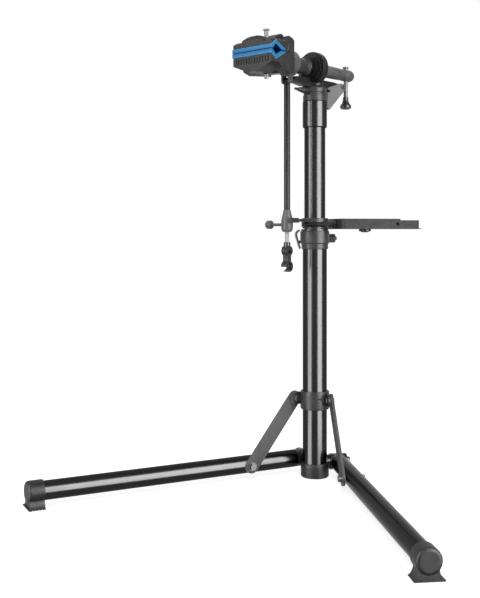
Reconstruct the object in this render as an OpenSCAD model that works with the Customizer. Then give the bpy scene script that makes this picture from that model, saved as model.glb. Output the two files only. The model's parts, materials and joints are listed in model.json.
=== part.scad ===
// Folding bicycle repair stand: round mast, two folding legs, clamp head, tool tray and holder rod.
// Origin on the floor under the mast, Z up, the jaws point to -Y.

/* [Mast] */
// outer diameter of the lower mast tube
lower_od = 52; // [44:1:60]
// wall of the lower mast tube
lower_wall = 2.5; // [2:0.5:3]
// height of the top of the lower tube
lower_top = 524; // [500:1:560]
// gap from the lower tube's bore to the upper tube
tube_gap = 1; // [0.8:0.1:1.5]
// wall of the upper mast tube
upper_wall = 2; // [1.5:0.5:3]
// height of the lower end of the upper tube
upper_low = 150; // [140:1:190]
// width of the floor cap beyond the tube
cap_wall = 4; // [3:0.5:6]
// height of the floor cap
cap_h = 30; // [24:1:32]

/* [Legs] */
// outer diameter of a leg tube
leg_od = 37; // [32:1:40]
// wall of a leg tube
leg_wall = 2; // [1.5:0.5:3]
// hinge to the middle of the foot
leg_len = 592; // [520:1:640]
// height of the leg's axis
leg_z = 30; // [28:1:34]
// angle between the legs
leg_spread = 70; // [60:1:90]
// turn of the legs' middle line from the jaws' direction
leg_turn = 14; // [0:1:20]
// hinge bolt diameter
hinge_d = 12; // [10:1:14]
// length of a foot cap along its leg
foot_len = 32; // [26:1:40]
// width of a foot on the floor
foot_w = 50; // [46:1:60]

/* [Struts] */
// width of a strut
strut_w = 30; // [24:1:32]
// thickness of a strut
strut_t = 5; // [4:0.5:5]
// height of the upper strut pivot
pivot_z = 166; // [160:1:180]
// hinge to the lower strut pivot along the leg
strut_foot = 137; // [130:1:150]
// height of the sliding collar
slider_h = 38; // [34:1:44]

/* [Clamp head] */
// height of the head's axis above the top of the lower tube
head_up = 346; // [330:1:400]
// diameter of the head shaft
shaft_d = 32; // [28:1:34]
// jaw width along the clamped tube
jaw_w = 100; // [90:1:120]
// mast axis to the middle of the clamping groove
jaw_reach = 180; // [176:1:196]
// half height of the clamping groove
groove = 12; // [10:0.5:14]
// height of the parting plane above the head's axis
part_up = 9; // [7:0.5:10]
// diameter of the sliding handle bar
bar_d = 9; // [8:0.5:10]

/* [Tray and rod] */
// length of the tray pan
tray_l = 178; // [150:1:200]
// width of the tray pan
tray_w = 114; // [90:1:130]
// height of the tray pan
tray_h = 22; // [18:1:26]
// direction of the tray round the mast
tray_yaw = 57; // [40:1:80]
// outer diameter of the holder rod
rod_d = 13; // [12:0.5:14]
// diameter of the sliding inner rod
inner_d = 9; // [8:0.5:9.5]

/* [Fits] */
// radial play of a pin that turns in its hole
run = 0.05; // [0.02:0.01:0.08]
// gap between moving neighbours
air = 0.3; // [0.3:0.05:0.5]

/* [Hidden] */
$fn = 48;
e = 0.01;
lower_r = lower_od / 2;
bore_r = lower_r - lower_wall;
upper_r = bore_r - tube_gap;
leg_r = leg_od / 2;
yaw = [-90 + leg_turn - leg_spread / 2, -90 + leg_turn + leg_spread / 2];
side = [-1, 1];
// sideways steps from the mast axis: boss face, leg axis, strut face, ear face
boss_r = 14;
boss_out = lower_r + 5.5 - air;
eye_in = boss_out + 2 * air;
leg_off = lower_r + 5.5 + leg_r;
eye_out = 2 * leg_off - eye_in;
strut_in = leg_off - leg_r - air - strut_t;
strut_out = strut_in + strut_t;
ear_out = strut_in - air;
ear_in = ear_out - 6;
slider_r = lower_r + 5;
pivot_x = sqrt(slider_r * slider_r - strut_in * strut_in) + strut_w / 2 + 1.4;
strut_tilt = atan2(strut_foot - pivot_x, pivot_z - leg_z);
strut_len = norm([strut_foot - pivot_x, pivot_z - leg_z]);
pivot_r = 4;
clamp_yaw = 42;
clamp_r = lower_r + 5;
clamp_z = lower_top - 27;
skirt_z = lower_top - 39;
clamp_mid = lower_top - 16;
clamp_y = lower_r + 17;
lug_w = 8.5;
lever_x = -lug_w - 10;
paddle_x = -clamp_r + 1.5;
paddle_z = clamp_mid + 8;
ring_z = lower_top + 9;
head_z = lower_top + head_up;
shaft_r = shaft_d / 2;
neck_r = shaft_r + 4;
hub_r = shaft_r + 19;
post_r = upper_r + 2.8;
post_low = head_z - 70;
tube_top = head_z - 44;
part_z = head_z + part_up;
// clamping pads: the tip of the groove lies ahead of its middle, the rear lip is thinner than the front
pad_t = 8.5;
lip_t = 4.5;
tip = -11;
pad_deep = groove + pad_t - 1;
seat_low = part_up - lip_t;
seat_high = part_up + lip_t;
trough = part_up - pad_deep - 2;
crest = part_up + pad_deep + 2;
jaw_back = jaw_reach - 25;
jaw_front = jaw_reach + 24;
carrier_y = 101;
hinge_y = 128;
hinge_up = 24;
ear_x = 13;
screw_y = jaw_back + 5;
// rear arm: end of the shaft, of the barrel and of the spindle, and the handle bar
shaft_end = 12.5;
arm_r = 12.5;
arm_end = 100;
bar_y0 = arm_end + 13;
bar_r = bar_d / 2;
// pivot of the lock lever: behind the mast and below the head's axis
lock_y = 86;
lock_dz = -30;
ear_w = 6;
rod_y = 94;
rod_r = rod_d / 2;
rod_pin_z = head_z - shaft_r - 20;
inner_r = inner_d / 2;
tray_x = upper_r + 18;
black = [0.05, 0.05, 0.055];
grey = [0.42, 0.42, 0.43];
dark = [0.13, 0.13, 0.14];
steel = [0.72, 0.72, 0.73];
blue = [0.08, 0.5, 0.86];

// round bar along X or Y between two stations
module bar_x(r, a, b) translate([a, 0, 0]) rotate([0, 90, 0]) cylinder(r = r, h = b - a);
module bar_y(r, a, b) translate([0, a, 0]) rotate([-90, 0, 0]) cylinder(r = r, h = b - a);
// body of revolution about Y from a profile of [radius, y]
module turn_y(p) rotate([-90, 0, 0]) rotate_extrude() polygon(p);
// profile of [y, z] drawn across X, half width w
module across(w, p) translate([-w, 0, 0]) rotate([90, 0, 90]) linear_extrude(2 * w) polygon(p);
// frame of a leg: +X along the leg, sideways steps grow away from the other leg
module leg_frame(i) rotate([0, 0, yaw[i]]) children();
module bar_out(i, r, a, b) bar_y(r, side[i] > 0 ? a : -b, side[i] > 0 ? b : -a);
module slab_out(i, x, a, b, z0, z1) translate([x[0], side[i] > 0 ? a : -b, z0])
  cube([x[1] - x[0], b - a, z1 - z0]);
module ring(r0, r1, z0, z1) translate([0, 0, z0]) difference() {
  cylinder(r = r1, h = z1 - z0);
  translate([0, 0, -1]) cylinder(r = r0, h = z1 - z0 + 2);
}
// flat of rounded corners
module round_rect(l, w, r) {
  translate([-l / 2 + r, -w / 2]) square([l - 2 * r, w]);
  translate([-l / 2, -w / 2 + r]) square([l, w - 2 * r]);
  for (x = [-1, 1], y = [-1, 1]) translate([x * (l / 2 - r), y * (w / 2 - r)]) circle(r);
}

module lower_tube() color(black) difference() {
  union() {
    translate([0, 0, 5]) cylinder(r = lower_r, h = lower_top - 5);
    for (i = [0, 1]) leg_frame(i) translate([0, 0, leg_z]) bar_out(i, boss_r, lower_r - 6, boss_out);
  }
  cylinder(r = bore_r, h = lower_top + 1);
  for (i = [0, 1]) leg_frame(i) translate([0, 0, leg_z]) bar_out(i, hinge_d / 2, lower_r - 8, boss_out + 1);
}

module base_cap() color(dark) difference() {
  rotate_extrude() polygon([[0, 0], [lower_r + cap_wall - 2, 0], [lower_r + cap_wall, 2],
    [lower_r + cap_wall, cap_h - 8], [lower_r + 1.5, cap_h], [0, cap_h]]);
  translate([0, 0, 5]) cylinder(r = lower_r, h = cap_h);
  for (i = [0, 1]) leg_frame(i) slab_out(i, [-boss_r - air, boss_r + air], lower_r / 2, lower_r + 20,
    leg_z - boss_r - air, cap_h + 1);
}

module hinge_bolts() color(steel) for (i = [0, 1]) leg_frame(i) translate([0, 0, leg_z]) {
  bar_out(i, hinge_d / 2, lower_r, eye_out + 3);
  bar_out(i, hinge_d / 2 + 5, eye_out + air, eye_out + 2);
  rotate([0, 15, 0]) difference() {
    bar_out(i, hinge_d / 2 + 3.5, eye_out + 1.9, eye_out + 8);
    for (a = [0:60:300]) rotate([0, a, 0]) slab_out(i, [-9, 9], eye_out + 2, eye_out + 9, hinge_d / 2 + 2, 20);
  }
}

module guide_bush() color(dark) {
  ring(upper_r + air, bore_r, lower_top - 40, lower_top + e);
  ring(upper_r + air, lower_r + 3, lower_top, lower_top + 4);
}

module clamp_collar() color(dark) rotate([0, 0, clamp_yaw]) difference() {
  union() {
    rotate_extrude() polygon([[lower_r - 1, skirt_z], [lower_r + 1.5, skirt_z], [lower_r + 2.5, skirt_z + 1.5],
      [lower_r + 2.5, clamp_z], [clamp_r - 1, clamp_z], [clamp_r, clamp_z + 1.5],
      [clamp_r, lower_top - 2], [clamp_r - 1, lower_top], [lower_r - 1, lower_top]]);
    translate([0, clamp_y, clamp_mid]) bar_x(11, -lug_w, lug_w);
    translate([-lug_w, lower_r - 1, clamp_mid - 11]) cube([2 * lug_w, clamp_y - lower_r + 1, 22]);
  }
  translate([0, 0, skirt_z - 1]) cylinder(r = lower_r, h = 50);
  translate([-1.5, 0, skirt_z - 1]) cube([3, 70, 50]);
  translate([0, clamp_y, clamp_mid]) bar_x(4, -30, 30);
}

module clamp_bolt() color(steel) rotate([0, 0, clamp_yaw]) {
  translate([0, clamp_y, clamp_mid]) bar_x(4, lever_x + 2, lug_w + 42.5);
  translate([0, clamp_y, clamp_mid]) bar_x(8, lug_w, lug_w + 3);
  translate([lever_x, clamp_y, clamp_mid - 4.5]) cylinder(r = 6, h = 9);
  translate([lever_x, clamp_y, clamp_mid - 12]) cylinder(r = 3, h = 24);
}

module clamp_knob() color(dark) rotate([0, 0, clamp_yaw]) translate([lug_w, clamp_y, clamp_mid]) difference() {
  rotate([0, 90, 0]) rotate_extrude() polygon([[0, 3.5], [6.5, 3.5], [7, 11], [9.5, 14], [9.5, 37],
    [8, 39.5], [0, 39.5]]);
  bar_x(4 + run, 0, 60);
  for (a = [0:45:315]) rotate([a, 0, 0]) translate([13, 0, 10.6]) bar_x(2, 0, 30);
}

// outline [x, z] of the curved paddle: an arc round its bulge and a straight tail
function paddle_arc(r, a) = [paddle_x + r * cos(a), paddle_z + r * sin(a)];
module quick_lever() color(grey) rotate([0, 0, clamp_yaw]) difference() {
  union() {
    for (z = [-11, 4.5 + air]) translate([lever_x, clamp_y, clamp_mid + z]) cylinder(r = 8, h = 11 - 4.5 - air);
    translate([lever_x - 8, clamp_y - 4.5, clamp_mid - 11]) cube([1.7, 8.5, 22]);
    translate([-clamp_r - 3.5, clamp_y - 7, clamp_mid - 11]) cube([clamp_r + 3.5 + lever_x, 9, 6.5 - air]);
    translate([0, clamp_y + 2, 0]) rotate([90, 0, 0]) linear_extrude(clamp_y - 6) polygon(concat(
      [for (a = [100:19:195]) paddle_arc(11, a)], [[-clamp_r - 0.5, skirt_z], [-clamp_r + 2.1, skirt_z + 1.5]],
      [for (a = [195:-19:100]) paddle_arc(7.5, a)]));
  }
  translate([lever_x, clamp_y, clamp_mid - 20]) cylinder(r = 3 + run, h = 40);
}

module leg_tube(i) color(black) leg_frame(i) translate([0, side[i] * leg_off, leg_z]) difference() {
  bar_x(leg_r, 22, leg_len + foot_len / 2 - 5);
  bar_x(leg_r - leg_wall, 20, leg_len + foot_len);
  translate([strut_foot, 0, 0]) bar_out(i, 4, leg_r / 2, leg_r + 4);
}

module leg_eye(i) color(dark) leg_frame(i) translate([0, 0, leg_z]) difference() {
  union() {
    bar_out(i, leg_r - 1.5, eye_in, eye_out);
    translate([0, side[i] * leg_off, 0]) bar_x((eye_out - eye_in) / 2, 0, 22);
    translate([0, side[i] * leg_off, 0]) bar_x(leg_r - leg_wall, 21, 58);
  }
  bar_out(i, hinge_d / 2 + run, 0, eye_out + 2);
}

// half width of a foot's neck at height z, and of its left and right sides
function foot_half(z) = leg_r - 2 + (foot_w / 2 - leg_r + 2) * pow(1 - z / 16, 2);
module foot(i) color(dark) leg_frame(i) translate([leg_len - foot_len / 2, side[i] * leg_off, 0]) difference() {
  union() {
    translate([0, 0, leg_z]) rotate([0, 90, 0]) rotate_extrude() polygon(concat([[0, 0], [leg_r + 3, 0]],
      [for (a = [0:15:90]) [leg_r - 3 + 6 * cos(a), foot_len - 6 + 6 * sin(a)]], [[0, foot_len]]));
    rotate([90, 0, 90]) linear_extrude(foot_len - 3) polygon(concat([[-leg_r + 2, leg_z - 6]],
      [for (z = [16:-2:0]) [-foot_half(z), z]], [for (z = [0:2:16]) [foot_half(z), z]],
        [[leg_r - 2, leg_z - 6]]));
    translate([0, -foot_w / 2, 0]) cube([foot_len, foot_w, 2.2]);
  }
  translate([0, 0, leg_z]) bar_x(leg_r, -1, foot_len - 5);
  for (x = [6, 12, 18, 24]) translate([x, -foot_w / 2, -1]) cube([2.5, foot_w, 2.2]);
}

module leg_nut(i) color(steel) leg_frame(i) translate([strut_foot, side[i] * leg_off, leg_z]) {
  bar_out(i, 4, leg_r - leg_wall - 4, leg_r + 6);
  difference() {
    bar_out(i, 7.5, leg_r + e, leg_r + 5);
    for (a = [0:60:300]) rotate([0, a, 0]) slab_out(i, [-9, 9], leg_r - 1, leg_r + 7, 6.5, 20);
  }
}

module strut_collar() color(dark) difference() {
  union() {
    rotate_extrude() polygon([[lower_r - 2, pivot_z - slider_h / 2 - 2],
      [slider_r - 1, pivot_z - slider_h / 2 - 2],
      [slider_r, pivot_z - slider_h / 2], [slider_r, pivot_z + slider_h / 2 - 4],
      [slider_r - 1, pivot_z + slider_h / 2 - 2], [lower_r - 2, pivot_z + slider_h / 2 - 2]]);
    for (i = [0, 1]) leg_frame(i) {
      slab_out(i, [0, pivot_x], ear_in, ear_out, pivot_z - 13, pivot_z + 13);
      translate([pivot_x, 0, pivot_z]) bar_out(i, 13, ear_in, ear_out);
    }
  }
  translate([0, 0, pivot_z - slider_h]) cylinder(r = lower_r + air, h = 2 * slider_h);
  for (i = [0, 1]) leg_frame(i) translate([pivot_x, 0, pivot_z]) bar_out(i, pivot_r, 0, 60);
}

module strut_rivets() color(steel) for (i = [0, 1]) leg_frame(i) translate([pivot_x, 0, pivot_z]) {
  bar_out(i, pivot_r, ear_in - 1, strut_out + 1);
  bar_out(i, 7, ear_in - 3.5, ear_in);
  bar_out(i, 7, strut_out + air, strut_out + 3);
}

// strut standing at its rest tilt, drawn from the upper pivot
module strut_place(i) leg_frame(i) translate([pivot_x, 0, pivot_z]) rotate([0, 90 - strut_tilt, 0]) children();

module strut(i) color(grey) strut_place(i) difference() {
  union() {
    slab_out(i, [0, strut_len], strut_in, strut_out, -strut_w / 2, strut_w / 2);
    bar_out(i, strut_w / 2, strut_in, strut_out);
    translate([strut_len, 0, 0]) bar_out(i, strut_w / 2, strut_in, strut_out);
  }
  bar_out(i, pivot_r + run, 0, 60);
  translate([strut_len, 0, 0]) bar_out(i, pivot_r, 0, 60);
}

module strut_bolt(i) color(steel) strut_place(i) translate([strut_len, 0, 0]) {
  bar_out(i, pivot_r, strut_in - 2, strut_out);
  bar_out(i, 9, strut_in - 1.6, strut_in);
  difference() {
    bar_out(i, 7.2, strut_in - 7, strut_in - 1.5);
    for (a = [0:60:300]) rotate([0, a, 0]) slab_out(i, [-9, 9], strut_in - 8, strut_in - 1.6, 6.4, 20);
  }
}

module upper_tube() color(black) ring(upper_r - upper_wall, upper_r, upper_low, tube_top);

module slide_bush() color(dark) ring(upper_r, bore_r - air, upper_low + 2, upper_low + 30);

module top_sleeve() color(black) difference() {
  rotate_extrude() polygon([[upper_r - 1, post_low - 56], [upper_r + 2, post_low - 56],
    [upper_r + 3.5, post_low - 54],
    [upper_r + 3.5, post_low - 1], [upper_r + 3, post_low], [upper_r - 1, post_low]]);
  translate([0, 0, post_low - 60]) cylinder(r = upper_r, h = 70);
}

module head_socket() color(dark) difference() {
  union() {
    rotate_extrude() polygon([[0, post_low], [post_r - 1, post_low], [post_r, post_low + 1.5],
      [post_r, post_low + 13], [post_r - 1.6, post_low + 14.5], [post_r - 1.6, post_low + 17.5],
      [post_r, post_low + 19], [post_r, head_z - 42.5], [post_r - 2.5, head_z - 39],
        [post_r - 8, head_z - 36.5],
      [post_r - 8, head_z - 23], [0, head_z - 23]]);
    translate([0, 0, head_z]) turn_y([[0, -34], [hub_r - 16, -34], [hub_r - 16, -28], [hub_r - 11, -28],
      [hub_r - 11, -21], [hub_r - 5, -21], [hub_r - 5, -14], [hub_r - 1.5, -14], [hub_r, -12.5], [hub_r, 1],
      [hub_r - 3, 4], [hub_r - 12, 8], [hub_r - 14, shaft_end - 0.5], [0, shaft_end - 0.5]]);
    translate([0, 0, head_z]) across(ear_w, [[5, -44], [40, -41], [lock_y, lock_dz - 6.5],
      [lock_y, lock_dz + 6.5], [60, lock_dz + 8.5], [5, lock_dz + 8.5]]);
    translate([0, lock_y, head_z + lock_dz]) bar_x(6.5, -ear_w, ear_w);
    translate([0, 0, head_z]) across(9, [[-5, -40], [-45, -40], [-74, -36], [-80, -32], [-80, -neck_r - 5.5],
      [-70, -neck_r - 4], [-38, -neck_r - 2.5], [-31, -neck_r - 2.5], [-24.5, -31], [-5, -31]]);
  }
  translate([0, 0, post_low - 1]) cylinder(r = upper_r, h = tube_top - post_low + 1);
  translate([0, 0, head_z]) bar_y(shaft_r + run, -40, 40);
  translate([0, 0, head_z]) turn_y([[hub_r - 9.5, -22], [hub_r - 7, -22], [hub_r - 7, -19],
    [hub_r - 9.5, -19]]);
  translate([0, lock_y, head_z + lock_dz]) bar_x(3, -20, 20);
  translate([0, 0, head_z - 49]) bar_y(4.5, -40, 2 - upper_r);
}

module lock_bolt() color(dark) translate([0, 0, head_z - 49]) {
  bar_y(4.5, -40, -upper_r);
  turn_y([[0, -68], [2.6, -67.5], [3, -57], [4.5, -55], [5.5, -46], [6.5, -42], [6.5, -post_r - air],
    [0, -post_r - air]]);
}

module lock_lever() color([0.55, 0.55, 0.56]) translate([0, 0, head_z]) difference() {
  across(ear_w + 5, [[33, -44], [36, -36], [80, -22], [90, -23], [lock_y + 8, lock_dz + 1], [92, -38],
    [38, -84], [33, -84],
    [31, -78], [31, -60]]);
  across(ear_w + air, [[25, -91.1], [110, -18.7], [110, 10], [25, 10]]);
  across(ear_w + 6, [[20, -47], [43, -45.5], [44, -43], [43, -40.5], [20, -40]]);
  translate([0, lock_y, lock_dz]) bar_x(3 + run, -20, 20);
}

module lever_pin() color(steel) translate([0, lock_y, head_z + lock_dz]) {
  bar_x(3, -ear_w - 7, ear_w + 7);
  for (s = [0, 1]) mirror([s, 0, 0]) bar_x(5, ear_w + 5 + air, ear_w + 7);
}

module tray_stop() color(dark) ring(upper_r, upper_r + 4, ring_z - 3.6, ring_z - air);

module park_hook() color(dark) difference() {
  union() {
    translate([0, 0, ring_z + 10 + air]) cylinder(r = upper_r + 5.5, h = 8);
    translate([-5, -rod_y + rod_r + 7, ring_z + 10 + air]) cube([10, rod_y - rod_r - 7 - upper_r, 6]);
    translate([-14, -rod_y + rod_r + 7.2, ring_z + 8]) cube([31.5, 3.5, 10]);
    translate([rod_r + 7.2, -rod_y - 11, ring_z + 8]) cube([3.8, 28, 10]);
  }
  cylinder(r = upper_r, h = head_z);
}

module tray_ring() color(dark) difference() {
  union() {
    translate([0, 0, ring_z]) cylinder(r = upper_r + 6, h = 10);
    rotate([0, 0, tray_yaw]) translate([10, -14, ring_z]) cube([tray_x - 10, 28, 10]);
    rotate([0, 0, tray_yaw]) translate([tray_x - 4, -24, ring_z - 2]) cube([4, 48, 16]);
  }
  translate([0, 0, ring_z - 5]) cylinder(r = upper_r + air, h = 30);
}

module tray_pan() color(black) rotate([0, 0, tray_yaw]) translate([tray_x + tray_l / 2, 0, ring_z - 5]) {
  difference() {
    linear_extrude(tray_h) round_rect(tray_l, tray_w, 8);
    translate([0, 0, 2]) linear_extrude(tray_h) round_rect(tray_l - 4, tray_w - 4, 6);
    translate([tray_l / 2 - 46, -tray_w, tray_h - 3]) cube([60, 2 * tray_w, 10]);
    for (y = [-1, 1]) translate([tray_l / 2 - 52, y * tray_w / 2, 11]) rotate([90, 0, 0])
      cylinder(r = 4, h = 8, center = true);
  }
  translate([tray_l / 2 - 3, -30, 0]) cube([20, 60, 1.6]);
}

module tray_boss() color(dark) rotate([0, 0, tray_yaw]) translate([tray_x + tray_l * 0.42, 0, 0]) {
  translate([0, 0, ring_z - 10]) cylinder(r = 13, h = 5);
  translate([0, 0, ring_z - 12]) cylinder(r1 = 8, r2 = 9, h = 2.1);
}

module head_shaft() color(grey) translate([0, 0, head_z]) {
  bar_y(shaft_r, -40, shaft_end);
  bar_y(9, shaft_end - 1, 60);
  turn_y([[0, -82], [neck_r + 3, -82], [neck_r + 3, -79], [shaft_r + 1, -75], [shaft_r + 1, -42],
    [shaft_r + 4.5, -39],
    [shaft_r + 4.5, -36], [shaft_r + 3, -34 - air], [0, -34 - air]]);
  bar_y(neck_r, -carrier_y, -80);
}

// clamping pad profile below the parting plane, as [y, z]
module pad_seat(w, top) translate([0, -jaw_reach, part_z]) across(w, [[-26, top], [20, top],
  [20, -lip_t], [17, -lip_t],
  [tip, -pad_deep], [-23.5, -pad_t - 0.5], [-26, -pad_t]]);
module pad(w) difference() {
  pad_seat(w, -0.4);
  translate([0, -jaw_reach, part_z]) across(w + 1, [[tip - 0.75 * groove, 0.6], [tip, -groove],
    [tip + 1.65 * groove, 0.6]]);
}
module above(flip) translate([0, 0, flip * 2 * part_z]) mirror([0, 0, flip]) children();
// front bar of a jaw: outline [x, z] of its right half, drawn from the back to the front
module jaw_bar(p) translate([0, -jaw_back, head_z]) rotate([90, 0, 0]) linear_extrude(jaw_front - jaw_back)
  for (s = [0, 1]) mirror([s, 0]) polygon(p);
// sloping side web from the jaw's end back to the carrier
module jaw_web(y, x, z0, z1) for (s = [0, 1]) mirror([s, 0, 0]) translate([0, 0, head_z + z0])
  linear_extrude(z1 - z0)
  polygon([[x, y], [jaw_w / 2, -jaw_back + 2], [jaw_w / 2, -jaw_back - 2], [x, -jaw_back - 2]]);

module lower_jaw() color(dark) difference() {
  union() {
    translate([0, 0, head_z]) across(ear_x + 12, [[-carrier_y, -22], [-jaw_back - 2, trough - 18.5],
      [-jaw_back - 2, seat_low],
      [-hinge_y - 19, seat_low + 4], [-hinge_y - 13, hinge_up + 10], [-hinge_y - 4, hinge_up + 22],
      [-hinge_y + 10, hinge_up + 26], [-hinge_y + 22, hinge_up + 22], [-carrier_y, hinge_up + 18]]);
    jaw_web(-116, 24, trough - 16, seat_low);
    jaw_bar([[-1, seat_low], [jaw_w / 2, seat_low], [jaw_w / 2, trough - 3], [jaw_w / 2 - 5, trough - 6],
      [jaw_w * 0.38, trough - 8.5], [12, trough - 18.5], [-1, trough - 18.5]]);
    translate([0, 0, head_z]) across(jaw_w / 2, [[-jaw_back, seat_low], [-jaw_back - 24, trough - 4],
      [-jaw_back - 16, trough - 12], [-jaw_back, trough - 16]]);
  }
  pad_seat(jaw_w, 1);
  translate([-ear_x, -jaw_back - 3, head_z + 6]) cube([2 * ear_x, jaw_back + 3 - 112, 60]);
  translate([0, -hinge_y, head_z + hinge_up]) bar_x(5, -30, 30);
  translate([0, -screw_y, head_z - 50]) cylinder(r = 4, h = 100);
  for (x = [-42:7:42]) translate([x - 1.6, -jaw_front - 1, head_z + trough - 2.5]) cube([3.2, 3, 11]);
}

module lower_pad() color(blue) difference() {
  pad(jaw_w / 2 + 1);
  translate([0, -screw_y, part_z - 30]) cylinder(r = 6.5, h = 60);
}

module guide_screw() color(steel) translate([0, -screw_y, head_z]) {
  translate([0, 0, trough - 27.5]) cylinder(r = 4, h = 57 - trough + 27.5);
  translate([0, 0, 57 - e]) cylinder(r1 = 7, r2 = 6, h = 3);
  translate([0, 0, trough - 22.5]) cylinder(r = 6.5, h = 4);
}

module jaw_pin() color(steel) translate([0, -hinge_y, head_z + hinge_up]) {
  bar_x(5, -27, 27);
  for (s = [0, 1]) mirror([s, 0, 0]) bar_x(7, 25, 27.5);
}

module rear_barrel() color(grey) translate([0, 0, head_z]) turn_y([[9, shaft_end], [shaft_r + 2.5, shaft_end],
  [shaft_r + 2.5, shaft_end + 3], [arm_r + 1.5, shaft_end + 5], [arm_r, arm_end - 2],
    [arm_r - 1.5, arm_end - air],
  [8 + run, arm_end - air], [8 + run, 60], [9, 60]]);

module upper_jaw() color(dark) difference() {
  union() {
    translate([0, 0, head_z]) across(ear_x - air, [[-jaw_back - 2, seat_high], [-jaw_back - 2, crest + 9],
      [-hinge_y - 20, crest + 14], [-hinge_y - 8, hinge_up + 28], [-hinge_y, hinge_up + 30],
      [-hinge_y + 6, hinge_up + 28], [-hinge_y + 12, hinge_up + 14], [-hinge_y + 14.5, hinge_up + 3],
      [-hinge_y + 13, hinge_up - 5], [-hinge_y + 7, hinge_up - 10], [-hinge_y - 7, hinge_up - 10],
      [-hinge_y - 18, seat_high]]);
    jaw_web(-138, 26, seat_high + 1, crest + 1);
    difference() {
      jaw_bar([[-1, seat_high], [jaw_w / 2, seat_high], [jaw_w / 2, crest - 2],
        [jaw_w / 2 - 4, crest + 1], [-1, crest + 1]]);
      translate([0, 0, head_z]) across(jaw_w, [[-jaw_front - 1, crest - 5.2], [-jaw_front + 10, crest + 2.4],
        [-jaw_front - 1, crest + 2.4]]);
    }
    difference() {
      jaw_bar([[-1, crest - 6], [28, crest - 6], [26, crest + 3], [18, crest + 8], [8, crest + 10],
        [-1, crest + 10]]);
      translate([0, 0, head_z]) across(jaw_w, [[-jaw_front - 1, crest], [-jaw_front + 8, crest + 11],
        [-jaw_front - 1, crest + 11]]);
    }
  }
  above(1) pad_seat(jaw_w, 1);
  translate([0, -hinge_y, head_z + hinge_up]) bar_x(5 + run, -30, 30);
  for (y = [-1, 1]) translate([0, -screw_y + 4 * y, head_z]) cylinder(r = 5.5, h = 80);
  translate([-5.5, -screw_y - 4, head_z]) cube([11, 8, 80]);
}

module upper_pad() color(blue) difference() {
  above(1) pad(jaw_w / 2 + 1);
  translate([0, -screw_y, part_z - 30]) cylinder(r = 9, h = 60);
}

module spindle() color(dark) translate([0, 0, head_z]) difference() {
  turn_y([[0, 63], [8, 63], [8, arm_end], [arm_r - 0.5, arm_end], [arm_r + 0.5, arm_end + 3],
    [arm_r + 0.5, arm_end + 25], [arm_r - 1.5, arm_end + 30.5], [7, arm_end + 33.5], [0, arm_end + 34]]);
  translate([0, bar_y0, -30]) cylinder(r = bar_r + run, h = 60);
}

module handle_bar() color(steel) translate([0, bar_y0, head_z]) {
  translate([0, 0, -52]) cylinder(r = bar_r, h = 70);
  translate([0, 0, 15.5]) cylinder(r = bar_r + 2, h = 4);
}

module bar_knob() color(dark) translate([0, bar_y0, head_z]) difference() {
  rotate_extrude() polygon([[0, -48], [bar_r + 1.5, -48], [bar_r + 1.8, -56], [bar_r + 4, -62],
    [bar_r + 7.5, -66],
    [bar_r + 8, -69], [bar_r + 7, -73], [bar_r + 3, -75], [0, -75]]);
  translate([0, 0, -52]) cylinder(r = bar_r, h = 20);
}

module rod_ring() color(grey) difference() {
  union() {
    translate([0, 0, head_z]) bar_y(neck_r + 7, -100.5, -82.5);
    for (s = [-1, 1]) translate([s * (rod_r + air + 2), 0, 0]) {
      translate([-2, -rod_y - rod_r, rod_pin_z]) cube([4, 2 * rod_r, 20]);
      translate([0, -rod_y, rod_pin_z]) bar_x(rod_r, -2, 2);
    }
  }
  translate([0, 0, head_z]) bar_y(neck_r + air, -120, -60);
  translate([0, -rod_y, rod_pin_z]) bar_x(2.5, -20, 20);
  translate([-rod_r - air, -120, rod_pin_z - 20]) cube([2 * rod_r + 2 * air, 60, 20 + rod_r + 1]);
}

module rod_pin() color(steel) translate([0, -rod_y, rod_pin_z]) {
  bar_x(2.5, -rod_r - 6, rod_r + 6);
  for (s = [0, 1]) mirror([s, 0, 0]) bar_x(4, rod_r + air + 4, rod_r + 6.5);
}

module rod_tube() color(black) translate([0, -rod_y, 0]) difference() {
  union() {
    translate([0, 0, ring_z + 9]) cylinder(r = rod_r, h = rod_pin_z - ring_z - 9);
    translate([0, 0, rod_pin_z]) bar_x(rod_r, -rod_r, rod_r);
  }
  translate([0, 0, ring_z]) cylinder(r = inner_r + air, h = rod_pin_z - ring_z - 18);
  translate([0, 0, rod_pin_z]) bar_x(2.5 + run, -20, 20);
}

module lock_cone() color(dark) translate([0, -rod_y, ring_z]) difference() {
  rotate_extrude() polygon([[0, -11], [rod_r + 2, -11], [rod_r + 5, -7], [rod_r + 5.8, 0], [rod_r + 5.5, 14],
    [rod_r + 2.5, 26], [rod_r + 1, 34], [0, 34]]);
  translate([0, 0, 9]) cylinder(r = rod_r, h = 40);
  translate([0, 0, -20]) cylinder(r = inner_r + air, h = 60);
  translate([0, 0, 4]) bar_x(3 + run, -20, -4);
}

module thumb_screw() color(dark) translate([0, -rod_y, ring_z + 4]) {
  bar_x(3, -44, -inner_r - air - 0.4);
  difference() {
    rotate([0, -90, 0]) rotate_extrude() polygon([[0, 40], [6, 40], [9, 43], [9, 51], [7, 54], [0, 54]]);
    for (a = [0:60:300]) rotate([a, 0, 0]) translate([-56, 0, 10]) bar_x(2.2, 0, 20);
  }
}

module inner_rod() color(steel) translate([0, -rod_y, 0])
  translate([0, 0, ring_z - 40]) cylinder(r = inner_r, h = rod_pin_z - ring_z - 10);

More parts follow.
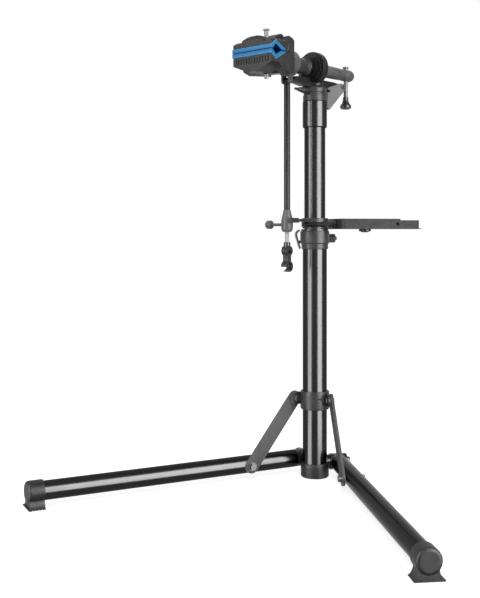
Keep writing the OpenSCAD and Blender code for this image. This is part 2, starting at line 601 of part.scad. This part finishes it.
module end_clip() color(dark) translate([0, -rod_y, ring_z]) difference() {
  union() {
    translate([0, 0, -50]) bar_x(10.5, -7, 7);
    translate([0, 0, -82]) bar_x(11.5, -7, 7);
    translate([-7, -5, -74]) cube([14, 10, 18]);
    translate([0, 0, -44]) cylinder(r = inner_r + 2.5, h = 12);
  }
  translate([0, 0, -40]) cylinder(r = inner_r, h = 40);
  translate([0, 0, -82]) bar_x(7, -10, 10);
  translate([0, 0, -52]) bar_x(4, -10, 10);
  translate([-10, -14, -92]) cube([20, 14, 9]);
}

lower_tube();
base_cap();
hinge_bolts();
guide_bush();
clamp_collar();
clamp_bolt();
clamp_knob();
quick_lever();
leg_tube(0);  // leg_tube_left
leg_tube(1);  // leg_tube_right
leg_eye(0);  // leg_eye_left
leg_eye(1);  // leg_eye_right
foot(0);  // foot_left
foot(1);  // foot_right
leg_nut(0);  // leg_nut_left
leg_nut(1);  // leg_nut_right
strut_collar();
strut_rivets();
strut(0);  // strut_left
strut(1);  // strut_right
strut_bolt(0);  // strut_bolt_left
strut_bolt(1);  // strut_bolt_right
upper_tube();
slide_bush();
top_sleeve();
head_socket();
lock_bolt();
lock_lever();
lever_pin();
tray_stop();
park_hook();
tray_ring();
tray_pan();
tray_boss();
head_shaft();
lower_jaw();
lower_pad();
guide_screw();
jaw_pin();
rear_barrel();
upper_jaw();
upper_pad();
spindle();
handle_bar();
bar_knob();
rod_ring();
rod_pin();
rod_tube();
lock_cone();
thumb_screw();
inner_rod();
end_clip();
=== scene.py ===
"""Looks of a folding bicycle repair stand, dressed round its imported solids.

Lengths are in metres, Z is up, and the jaws point to -Y.
"""

import json
import math

import bmesh
import bpy
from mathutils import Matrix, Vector


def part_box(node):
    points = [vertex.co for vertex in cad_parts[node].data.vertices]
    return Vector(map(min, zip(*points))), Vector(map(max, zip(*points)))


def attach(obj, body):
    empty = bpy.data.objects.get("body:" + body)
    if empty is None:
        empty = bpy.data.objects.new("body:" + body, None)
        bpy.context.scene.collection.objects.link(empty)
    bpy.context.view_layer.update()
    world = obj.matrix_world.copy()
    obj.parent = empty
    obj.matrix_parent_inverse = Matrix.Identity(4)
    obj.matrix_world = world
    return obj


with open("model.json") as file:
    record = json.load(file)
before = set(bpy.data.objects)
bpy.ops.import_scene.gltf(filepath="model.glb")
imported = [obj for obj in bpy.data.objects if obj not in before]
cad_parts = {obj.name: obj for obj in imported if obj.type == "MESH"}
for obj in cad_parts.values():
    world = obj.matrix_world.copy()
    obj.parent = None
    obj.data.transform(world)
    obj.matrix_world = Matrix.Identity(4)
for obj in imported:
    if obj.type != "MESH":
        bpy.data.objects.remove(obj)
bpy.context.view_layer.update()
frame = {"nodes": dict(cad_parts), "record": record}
nodes = frame["nodes"]
slot_of_node = {part["node"]: part["material_slot"] for part in frame["record"]["subparts"]}
joints = {joint["name"]: joint for joint in frame["record"]["behaviour"]["joints"]}

MM = 0.001
UP = Vector((0, 0, 1))
ALONG_X = Vector((1, 0, 0))

# The photograph's height in pixels, and the level camera found from the photograph
FRAME_HIGH = 598
FOCAL_PX = 921.7
HORIZON_PX = 230.5
SENSOR_MM = 36
CAMERA_TURN = math.radians(42)
CAMERA_DEPTH = 1.972
CAMERA_LEFT = 0.160
CAMERA_HIGH = 0.525
LEVEL = math.radians(90)

# Lamps on a circle round the stand: bearing from the camera in degrees, size, middle's height and watts
STRIPS = (
    dict(name="softbox_left", bearing=-54, wide=1.2, tall=3.0, high=0.45, watts=222),
    dict(name="softbox_right", bearing=44, wide=1.5, tall=2.4, high=0.70, watts=297),
)
FILL = dict(name="fill", bearing=0, wide=1.6, tall=1.6, high=1.9, watts=26)
LAMPS_AWAY = 1.9
LAMPS_AIM_HIGH = 0.45

# The white world: its strength where it is seen or mirrored, and where it only lights the stand
WORLD_SEEN = 1.0
WORLD_LIGHT = 0.5

# The floor: its tone in light and shade, and the glow that brings it near white where it is seen
FLOOR_SIZE = 40
FLOOR_BELOW = 0.5 * MM
FLOOR_TONE = (0.82, 0.82, 0.82)
FLOOR_ROUGH = 0.9
FLOOR_GLOW = 0.72

# Worn edges: how far rounded and plain normals agree on a face and on an edge, and the chipping noise
FACE_AGREES = 0.985
EDGE_AGREES = 0.90
CHIP_SCALE = 240
CHIP_LOW = 0.45
CHIP_HIGH = 0.62

# The part of a noise that is spread over a level's range
NOISE_LOW = 0.3
NOISE_HIGH = 0.7

# Blue in the greys, as a share of their red and green
GREY_BLUE = 1.03

# Painted castings: grey levels of the tones and of the rubbed edges, roughness, grain's scale and gloss
CASTS = {
    "grey_cast": dict(dark=0.11, pale=0.15, worn=0.28, rough=0.42, grain=900, gloss=0.10),
    "grey_plate": dict(dark=0.09, pale=0.12, worn=0.24, rough=0.38, grain=1300, gloss=0.10),
    "light_cast": dict(dark=0.24, pale=0.31, worn=0.45, rough=0.42, grain=900, gloss=0.10),
    "dark_cast": dict(dark=0.034, pale=0.050, worn=0.14, rough=0.36, grain=900, gloss=0.14),
    "jaw_cast": dict(dark=0.026, pale=0.036, worn=0.038, rough=0.42, grain=900, gloss=0.08),
    "foot_rubber": dict(dark=0.014, pale=0.024, worn=0.06, rough=0.46, grain=1300, gloss=0.14),
    "satin_black": dict(dark=0.042, pale=0.06, worn=0.14, rough=0.60, grain=1500, gloss=0.06),
}

# Castings whose grey level changes between two heights over the lower end of their node; on the rod tube
# the grey lower end is a painted reflection
TWO_TONES = {
    "socket_cast": dict(node="head_socket", start=29 * MM, end=33 * MM, below=0.042, above=0.007,
                        worn=0.10, rough=0.36, gloss=0.10),
    # Painted reflection: the rod tube turns from near black above to grey at its lower end
    "rod_paint": dict(node="rod_tube", start=18 * MM, end=258 * MM, below=0.034, above=0.003,
                      worn=0.07, rough=0.36, gloss=0.06),
}

# Plated steels: grey levels of the two tones, and how metallic they are
STEELS = {
    "steel": dict(dark=0.05, pale=0.08, metal=0.5),
    "bright_steel": dict(dark=0.50, pale=0.56, metal=0.0),
    "screw_steel": dict(dark=0.20, pale=0.26, metal=0.15),
    "dull_steel": dict(dark=0.09, pale=0.13, metal=0.15),
}

# Pieces whose finish differs from the rest of their slot
FINISH = {
    "base_cap": "foot_rubber",
    "foot_left": "foot_rubber",
    "foot_right": "foot_rubber",
    "clamp_knob": "grey_cast",
    "lock_cone": "grey_cast",
    "spindle": "grey_cast",
    "thumb_screw": "grey_cast",
    "lower_jaw": "jaw_cast",
    "upper_jaw": "jaw_cast",
    "head_shaft": "dark_cast",
    "head_socket": "socket_cast",
    "rod_tube": "rod_paint",
    "tray_pan": "satin_black",
    "inner_rod": "bright_steel",
    "guide_screw": "screw_steel",
    "handle_bar": "dull_steel",
}

# Widths of the rounded edges, where they aren't the usual one; an edge of width 0 stays crisp
USUAL_EDGE = 0.6 * MM
EDGE = {
    "lock_lever": 1.5 * MM,
    "lower_jaw": 1.2 * MM,
    "upper_jaw": 1.2 * MM,
    "foot_left": 1.2 * MM,
    "foot_right": 1.2 * MM,
    "lower_pad": 1.0 * MM,
    "upper_pad": 1.0 * MM,
    "head_socket": 0.8 * MM,
    "end_clip": 0.8 * MM,
    "tray_pan": 0.5 * MM,
    "guide_bush": 0.4 * MM,
    "slide_bush": 0.2 * MM,
    "hinge_bolts": 0,
    "strut_bolt_left": 0,
    "strut_bolt_right": 0,
}
# The rounding: its steps, the angle from which an edge is hard, and what is joined to keep the faces clean
EDGE_STEPS = 2
HARD_ANGLE = math.radians(32)
FLAT_ANGLE = math.radians(0.4)
WELD_CRISP = 0.001 * MM
WELD_BEFORE = 0.02 * MM
WELD_AFTER = 0.005 * MM
FACE_WEIGHT = 80

# Pieces left out of the mirror images, so that the streaks run on along the tubes
UNMIRRORED = ("strut_left", "strut_right", "leg_tube_left", "leg_tube_right")

# Weld beads round the hinge bosses; the ripple is a share of the bead's radius
MAST_R = 26 * MM
BOSS_R = 14 * MM
BEAD_R = 1.7 * MM
BEAD_STEPS = 144
BEAD_SIDES = 10
BEAD_RIPPLES = 22
BEAD_RIPPLE = 0.14

# Thread of the guide screw; half the foot's width is a share of the pitch
SCREW_R = 4 * MM
PITCH = 1.5 * MM
THREAD_TURNS = 8
THREAD_STEPS = 24
THREAD_BELOW_TOP = 16 * MM
THREAD_FOOT = 0.36
THREAD_SUNK = 0.2 * MM
THREAD_RISE = 0.42 * MM
THREAD_RUN_OUT = 0.05 * MM


# Node helpers

# Places of the Mix node's colour sockets, which share their names with those for numbers and vectors
MIX_COLOUR_A = 6
MIX_COLOUR_B = 7
MIX_COLOUR_OUT = 2


def shader_of(mat):
    """The principled shader of a material."""
    return mat.node_tree.nodes["Principled BSDF"]


def new_material(name, base, rough, **sockets):
    """A principled material; the sockets that stay the same all over are set on the shader itself."""
    mat = bpy.data.materials.new(name)
    mat.use_nodes = True
    shader = shader_of(mat)
    shader.inputs["Base Color"].default_value = (*base, 1)
    shader.inputs["Roughness"].default_value = rough
    for socket, value in sockets.items():
        shader.inputs[socket.replace("_", " ")].default_value = value
    return mat


def add_node(owner, kind, **settings):
    """A new node in the tree of a material or of the world."""
    node = owner.node_tree.nodes.new(kind)
    for key, value in settings.items():
        setattr(node, key, value)
    return node


def link(owner, source, target):
    """Links one node's output to another's input."""
    owner.node_tree.links.new(source, target)


def wire(mat, **sources):
    """Links each source to the shader's socket of that name."""
    for socket, source in sources.items():
        link(mat, source, shader_of(mat).inputs[socket.replace("_", " ")])


def calculate(owner, operation, *sources):
    """One sum, product or the like of other nodes' outputs."""
    result = add_node(owner, "ShaderNodeMath", operation=operation)
    for source, socket in zip(sources, result.inputs):
        link(owner, source, socket)
    return result.outputs["Value"]


def split(mat, vector):
    """The X, Y and Z of a vector, by name."""
    parts = add_node(mat, "ShaderNodeSeparateXYZ")
    link(mat, vector, parts.inputs["Vector"])
    return parts.outputs


def coordinates(mat, stretch=(1, 1, 1)):
    """Places on the piece itself, stretched per axis."""
    place = add_node(mat, "ShaderNodeTexCoord")
    mapping = add_node(mat, "ShaderNodeMapping")
    mapping.inputs["Scale"].default_value = stretch
    link(mat, place.outputs["Object"], mapping.inputs["Vector"])
    return mapping.outputs["Vector"]


def noise(mat, scale, detail=3, stretch=(1, 1, 1)):
    """A cloudy noise over the piece."""
    texture = add_node(mat, "ShaderNodeTexNoise")
    texture.inputs["Scale"].default_value = scale
    texture.inputs["Detail"].default_value = detail
    link(mat, coordinates(mat, stretch), texture.inputs["Vector"])
    return texture.outputs["Fac"]


def ramp(owner, source, low, high, out_low=0.0, out_high=1.0):
    """The source between low and high, spread over the two output levels."""
    spread = add_node(owner, "ShaderNodeMapRange")
    limits = {"From Min": low, "From Max": high, "To Min": out_low, "To Max": out_high}
    for key, value in limits.items():
        spread.inputs[key].default_value = value
    link(owner, source, spread.inputs["Value"])
    return spread.outputs["Result"]


def uneven(mat, grain, least, most):
    """A level that wanders between two values with a noise."""
    return ramp(mat, grain, NOISE_LOW, NOISE_HIGH, least, most)


def mottle(mat):
    """Cloudy patches from 0 to 1."""
    return ramp(mat, noise(mat, scale=45, detail=4), low=0.35, high=0.65)


def mix_colour(mat, factor, a, b):
    """Colour a where the factor is 0, colour b where it is 1."""
    blend = add_node(mat, "ShaderNodeMix", data_type="RGBA")
    link(mat, factor, blend.inputs["Factor"])
    for socket, colour in ((blend.inputs[MIX_COLOUR_A], a), (blend.inputs[MIX_COLOUR_B], b)):
        if isinstance(colour, bpy.types.NodeSocket):
            link(mat, colour, socket)
        else:
            socket.default_value = (*colour, 1)
    return blend.outputs[MIX_COLOUR_OUT]


def bump(mat, source, strength, distance):
    """Fine relief that follows the source."""
    relief = add_node(mat, "ShaderNodeBump")
    relief.inputs["Strength"].default_value = strength
    relief.inputs["Distance"].default_value = distance
    link(mat, source, relief.inputs["Height"])
    wire(mat, Normal=relief.outputs["Normal"])


def edges(mat, radius):
    """1 along the edges of a piece, and 0 on its faces."""
    rounded = add_node(mat, "ShaderNodeBevel", samples=4)
    rounded.inputs["Radius"].default_value = radius
    plain = add_node(mat, "ShaderNodeNewGeometry")
    agree = add_node(mat, "ShaderNodeVectorMath", operation="DOT_PRODUCT")
    link(mat, rounded.outputs["Normal"], agree.inputs[0])
    link(mat, plain.outputs["Normal"], agree.inputs[1])
    return ramp(mat, agree.outputs["Value"], FACE_AGREES, EDGE_AGREES)


def worn_edges(mat, radius):
    """The edges, broken up by a fine noise."""
    chips = ramp(mat, noise(mat, CHIP_SCALE), CHIP_LOW, CHIP_HIGH)
    return calculate(mat, "MULTIPLY", edges(mat, radius), chips)


def seen_or_mirrored(owner):
    """1 for rays from the camera, from gloss and through glass, and 0 for those that only carry light."""
    path = add_node(owner, "ShaderNodeLightPath")
    seen = path.outputs["Is Camera Ray"]
    for ray in ("Is Glossy Ray", "Is Transmission Ray"):
        seen = calculate(owner, "MAXIMUM", seen, path.outputs[ray])
    return seen


# Materials


def neutral(level):
    """Plain grey."""
    return (level, level, level)


def grey(level):
    """Grey that is a touch cooler than plain grey."""
    return (level, level, level * GREY_BLUE)


def black_paint():
    """Gloss black powder coat with a faint orange peel, hazy patches and fine scuffs along the tubes.

    Its gloss is that of a dark metal with a dim edge tint, so that the tubes stay black at grazing
    angles too.
    """
    edge_tint = (*neutral(0.6), 1)
    mat = new_material("black_paint", neutral(0.022), rough=0.22, Metallic=1.0, Specular_Tint=edge_tint)
    haze = ramp(mat, noise(mat, scale=14), low=0.35, high=0.7, out_low=0.20, out_high=0.25)
    scratches = noise(mat, scale=320, detail=2, stretch=(1, 1, 0.04))
    scuffs = ramp(mat, scratches, low=0.66, high=0.74, out_high=0.05)
    tone = mix_colour(mat, noise(mat, scale=9), neutral(0.020), neutral(0.024))
    wire(mat, Base_Color=tone, Roughness=calculate(mat, "ADD", haze, scuffs))
    bump(mat, noise(mat, scale=1100, detail=1), strength=0.02, distance=0.1 * MM)
    return mat


def cast_metal(name, dark, pale, worn, rough, grain, gloss):
    """Painted casting: mottled tone, sandy grain and rubbed edges."""
    mat = new_material(name, grey(dark), rough, Specular_IOR_Level=gloss)
    tone = mix_colour(mat, mottle(mat), grey(dark), grey(pale))
    colour = mix_colour(mat, worn_edges(mat, radius=1.2 * MM), tone, grey(worn))
    patches = uneven(mat, noise(mat, scale=90), least=rough - 0.07, most=rough + 0.08)
    wire(mat, Base_Color=colour, Roughness=patches)
    bump(mat, noise(mat, scale=grain, detail=2), strength=0.18, distance=0.3 * MM)
    return mat


def cast_in_two_tones(name, node, start, end, below, above, worn, rough, gloss):
    """Painted casting whose tone changes between two heights over the lower end of its node; on the rod
    tube this change is a painted reflection.
    """
    paler_below = 1.3 * below
    paler_above = 1.4 * above
    mat = new_material(name, grey(above), rough, Specular_IOR_Level=gloss)
    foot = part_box(node)[0][2]
    higher = ramp(mat, split(mat, coordinates(mat))["Z"], low=foot + start, high=foot + end)
    patches = mottle(mat)
    low_tone = mix_colour(mat, patches, grey(below), grey(paler_below))
    high_tone = mix_colour(mat, patches, grey(above), grey(paler_above))
    tone = mix_colour(mat, higher, low_tone, high_tone)
    colour = mix_colour(mat, worn_edges(mat, radius=1.2 * MM), tone, grey(worn))
    sheen = uneven(mat, noise(mat, scale=90), least=rough - 0.06, most=rough + 0.06)
    wire(mat, Base_Color=colour, Roughness=sheen)
    bump(mat, noise(mat, scale=1100, detail=2), strength=0.15, distance=0.3 * MM)
    return mat


def dark_plastic():
    """Moulded plastic with a fine leathery grain, gone grey at its edges."""
    mat = new_material("dark_plastic", (0.02, 0.02, 0.021), rough=0.3, Specular_IOR_Level=0.2)
    dark = (0.014, 0.014, 0.015)
    pale = (0.024, 0.024, 0.025)
    worn = (0.10, 0.10, 0.104)
    cells = add_node(mat, "ShaderNodeTexVoronoi", feature="SMOOTH_F1")
    cells.inputs["Scale"].default_value = 900
    link(mat, coordinates(mat), cells.inputs["Vector"])
    tone = mix_colour(mat, noise(mat, scale=30), dark, pale)
    colour = mix_colour(mat, worn_edges(mat, radius=1 * MM), tone, worn)
    wire(mat, Base_Color=colour, Roughness=uneven(mat, noise(mat, scale=60), least=0.24, most=0.36))
    bump(mat, cells.outputs["Distance"], strength=0.12, distance=0.2 * MM)
    return mat


def plated_steel(name, dark, pale, metal):
    """Plated steel with fine drawn lines."""
    mat = new_material(name, grey(dark), rough=0.3, Metallic=metal, Specular_IOR_Level=0.1)
    drawn = noise(mat, scale=700, detail=2, stretch=(1, 1, 0.05))
    tone = mix_colour(mat, noise(mat, scale=60), grey(dark), grey(pale))
    wire(mat, Base_Color=tone, Roughness=uneven(mat, drawn, least=0.28, most=0.42))
    bump(mat, drawn, strength=0.08, distance=0.1 * MM)
    return mat


def blue_pad():
    """Soft blue rubber; painted shade along the pads' seam and in their grooves, a painted highlight at
    the rims.
    """
    mat = new_material("blue_pad", (0.01, 0.21, 0.49), rough=0.45, Specular_IOR_Level=0.1)
    dark_blue = (0.008, 0.18, 0.42)
    pale_blue = (0.011, 0.24, 0.54)
    blue_of_painted_seam_shade = (0.005, 0.12, 0.33)
    blue_of_painted_groove_shade = (0.003, 0.06, 0.20)
    blue_of_painted_rim_highlight = (0.10, 0.40, 0.68)
    seam = (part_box("lower_pad")[1][2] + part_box("upper_pad")[0][2]) / 2
    place = add_node(mat, "ShaderNodeTexCoord")
    height = split(mat, place.outputs["Object"])["Z"]
    # Height over the seam in metres, which is negative on the lower pad
    above = ramp(mat, height, low=seam - 1, high=seam + 1, out_low=-1, out_high=1)
    away = calculate(mat, "ABSOLUTE", above)
    side = calculate(mat, "SIGN", above)
    outward = calculate(mat, "MULTIPLY", split(mat, place.outputs["Normal"])["Z"], side)
    tone = mix_colour(mat, noise(mat, scale=55), dark_blue, pale_blue)
    # Painted shade: a darker blue within a few millimetres of the seam between the pads
    clear_of_painted_seam_shade = ramp(mat, away, low=1.2 * MM, high=4 * MM)
    with_painted_seam_shade = mix_colour(mat, clear_of_painted_seam_shade, blue_of_painted_seam_shade, tone)
    # Painted shade: faces turned toward the seam, in the grooves, get a still darker blue
    painted_groove_shade_mask = ramp(mat, outward, low=-0.2, high=-0.6)
    with_painted_groove_shade = mix_colour(mat, painted_groove_shade_mask, with_painted_seam_shade, blue_of_painted_groove_shade)
    # Painted highlight: a pale blue along the pads' edges, a few millimetres or more from the seam
    painted_highlight_reach = ramp(mat, away, low=3 * MM, high=7 * MM)
    painted_rim_highlight_mask = calculate(mat, "MULTIPLY", edges(mat, radius=4 * MM), painted_highlight_reach)
    colour = mix_colour(mat, painted_rim_highlight_mask, with_painted_groove_shade, blue_of_painted_rim_highlight)
    wire(mat, Base_Color=colour, Roughness=uneven(mat, noise(mat, scale=150), least=0.38, most=0.52))
    bump(mat, noise(mat, scale=1400, detail=2), strength=0.15, distance=0.2 * MM)
    return mat


materials = {"black_paint": black_paint(), "dark_plastic": dark_plastic(), "blue_pad": blue_pad()}
for make, looks in ((cast_metal, CASTS), (cast_in_two_tones, TWO_TONES), (plated_steel, STEELS)):
    for name, look in looks.items():
        materials[name] = make(name, **look)


# Solids: softened edges and their materials


def soften(obj, width):
    """Rounds the hard edges of a solid, or keeps them crisp at width 0; its round faces stay smooth."""
    weld = obj.modifiers.new("weld", "WELD")
    if not width:
        weld.merge_threshold = WELD_CRISP
        crisp = obj.modifiers.new("crisp", "EDGE_SPLIT")
        crisp.split_angle = HARD_ANGLE
        return
    weld.merge_threshold = WELD_BEFORE
    planes = obj.modifiers.new("planes", "DECIMATE")
    planes.decimate_type = "DISSOLVE"
    planes.angle_limit = FLAT_ANGLE
    rounding = obj.modifiers.new("rounding", "BEVEL")
    rounding.width = width
    rounding.segments = EDGE_STEPS
    rounding.limit_method = "ANGLE"
    rounding.angle_limit = HARD_ANGLE
    clean = obj.modifiers.new("clean", "WELD")
    clean.merge_threshold = WELD_AFTER
    shade = obj.modifiers.new("shade", "WEIGHTED_NORMAL")
    shade.keep_sharp = True
    shade.weight = FACE_WEIGHT


for name, solid in nodes.items():
    solid.data.materials.clear()
    solid.data.materials.append(materials[FINISH.get(name, slot_of_node[name])])
    for face in solid.data.polygons:
        face.use_smooth = True
    soften(solid, EDGE.get(name, USUAL_EDGE))
    solid.visible_glossy = name not in UNMIRRORED


# Details that the solids leave out: weld beads round the hinge bosses and the thread of the guide screw


def ridge(name, centre, axis, across, stations, finish, body, closed):
    """Sweeps outlines round an axis.

    A station is an angle, a radius, a height along the axis, and an outline of steps in height and radius.
    """
    up = axis.cross(across)
    count = len(stations[0][-1])
    verts = []
    for angle, radius, along, outline in stations:
        out = across * math.cos(angle) + up * math.sin(angle)
        verts += [centre + axis * (along + da) + out * (radius + dr) for da, dr in outline]
    faces = []
    steps = len(stations)
    for i in range(steps if closed else steps - 1):
        a = i * count
        b = (i + 1) % steps * count
        faces += [(a + k, a + (k + 1) % count, b + (k + 1) % count, b + k) for k in range(count)]
    if not closed:
        faces += [tuple(reversed(range(count))), tuple(range((steps - 1) * count, steps * count))]
    mesh = bpy.data.meshes.new(name)
    mesh.from_pydata(verts, [], faces)
    shell = bmesh.new()
    shell.from_mesh(mesh)
    bmesh.ops.recalc_face_normals(shell, faces=shell.faces)
    shell.to_mesh(mesh)
    shell.free()
    for face in mesh.polygons:
        face.use_smooth = closed
    piece = bpy.data.objects.new(name, mesh)
    bpy.context.scene.collection.objects.link(piece)
    mesh.materials.append(materials[finish])
    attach(piece, body)


def weld_bead(name, joint):
    """Rippled bead where a hinge boss meets the round of the mast."""
    place = Vector(joint["pos_m"])
    out = Vector((place.x, place.y, 0)).normalized()
    sideways = Vector((-out.y, out.x, 0))
    turns = [2 * math.pi * k / BEAD_SIDES for k in range(BEAD_SIDES)]
    stations = []
    for i in range(BEAD_STEPS):
        angle = 2 * math.pi * i / BEAD_STEPS
        thick = BEAD_R * (1 + BEAD_RIPPLE * math.sin(BEAD_RIPPLES * angle))
        along = math.sqrt(MAST_R ** 2 - (BOSS_R * math.cos(angle)) ** 2)
        outline = [(thick * math.cos(t), thick * math.sin(t)) for t in turns]
        stations.append((angle, BOSS_R, along, outline))
    centre = UP * place.z
    ridge(name, centre, out, sideways, stations, "black_paint", "base", closed=True)


def screw_thread(name, node, body):
    """Helical ridge on the free upper end of the guide screw, run out at both ends."""
    low, high = (Vector(corner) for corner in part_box(node))
    centre = (low + high) / 2
    foot = THREAD_FOOT * PITCH
    steps = THREAD_TURNS * THREAD_STEPS
    stations = []
    for i in range(steps + 1):
        run_out = min(1, i / THREAD_STEPS, (steps - i) / THREAD_STEPS)
        crest = THREAD_RISE * run_out - THREAD_RUN_OUT
        outline = [(-foot, -THREAD_SUNK), (0, crest), (foot, -THREAD_SUNK)]
        turned = i / THREAD_STEPS
        stations.append((2 * math.pi * turned, SCREW_R, PITCH * turned, outline))
    start = Vector((centre.x, centre.y, high.z - THREAD_BELOW_TOP))
    ridge(name, start, UP, ALONG_X, stations, "screw_steel", body, closed=False)


weld_bead("weld_bead_left", joints["left_leg_fold"])
weld_bead("weld_bead_right", joints["right_leg_fold"])
screw_thread("screw_thread", "guide_screw", "head")


# Stage, light and camera


def make_world():
    """White for what the camera and the reflections see, a softer level for the light on the stand."""
    world = bpy.data.worlds.new("studio")
    bpy.context.scene.world = world
    world.use_nodes = True
    sky = world.node_tree.nodes["Background"]
    sky.inputs["Color"].default_value = (1, 1, 1, 1)
    strength = ramp(world, seen_or_mirrored(world), 0, 1, WORLD_LIGHT, WORLD_SEEN)
    link(world, strength, sky.inputs["Strength"])


def make_floor():
    """Pale floor that keeps the soft shadow and otherwise runs into the white background."""
    bpy.ops.mesh.primitive_plane_add(size=FLOOR_SIZE, location=(0, 0, -FLOOR_BELOW))
    floor = bpy.context.object
    floor.name = "floor"
    white = (1, 1, 1, 1)
    mat = new_material("pale_floor", FLOOR_TONE, FLOOR_ROUGH, Specular_IOR_Level=0, Emission_Color=white)
    wire(mat, Emission_Strength=ramp(mat, seen_or_mirrored(mat), 0, 1, 0, FLOOR_GLOW))
    floor.data.materials.append(mat)
    floor.visible_glossy = False


def area_lamp(name, bearing, wide, tall, high, watts):
    """A rectangular lamp on a circle round the stand, aimed at the middle of the mast."""
    lamp = bpy.data.lights.new(name, "AREA")
    lamp.shape = "RECTANGLE"
    lamp.size = wide
    lamp.size_y = tall
    lamp.energy = watts
    box = bpy.data.objects.new(name, lamp)
    bpy.context.scene.collection.objects.link(box)
    turn = CAMERA_TURN + math.radians(bearing)
    box.location = (LAMPS_AWAY * math.sin(turn), -LAMPS_AWAY * math.cos(turn), high)
    box.rotation_euler = (UP * LAMPS_AIM_HIGH - box.location).to_track_quat("-Z", "Y").to_euler()
    return box


def make_lights():
    """Two softboxes that only draw streaks along the tubes, and a fill lamp that leaves no streak."""
    for strip in STRIPS:
        area_lamp(**strip).visible_diffuse = False
    area_lamp(**FILL).visible_glossy = False


def make_camera():
    """Level camera at the photograph's place; the shift lowers the frame without tilting the mast."""
    data = bpy.data.cameras.new("camera")
    data.sensor_width = SENSOR_MM
    data.lens = FOCAL_PX / FRAME_HIGH * SENSOR_MM
    data.shift_y = (HORIZON_PX - FRAME_HIGH / 2) / FRAME_HIGH
    camera = bpy.data.objects.new("camera", data)
    bpy.context.scene.collection.objects.link(camera)
    toward = Vector((math.sin(CAMERA_TURN), -math.cos(CAMERA_TURN), 0))
    right = Vector((math.cos(CAMERA_TURN), math.sin(CAMERA_TURN), 0))
    camera.location = toward * CAMERA_DEPTH - right * CAMERA_LEFT + UP * CAMERA_HIGH
    camera.rotation_euler = (LEVEL, 0, CAMERA_TURN)
    bpy.context.scene.camera = camera


make_world()
make_floor()
make_lights()
make_camera()
bpy.context.scene.view_settings.view_transform = "Standard"
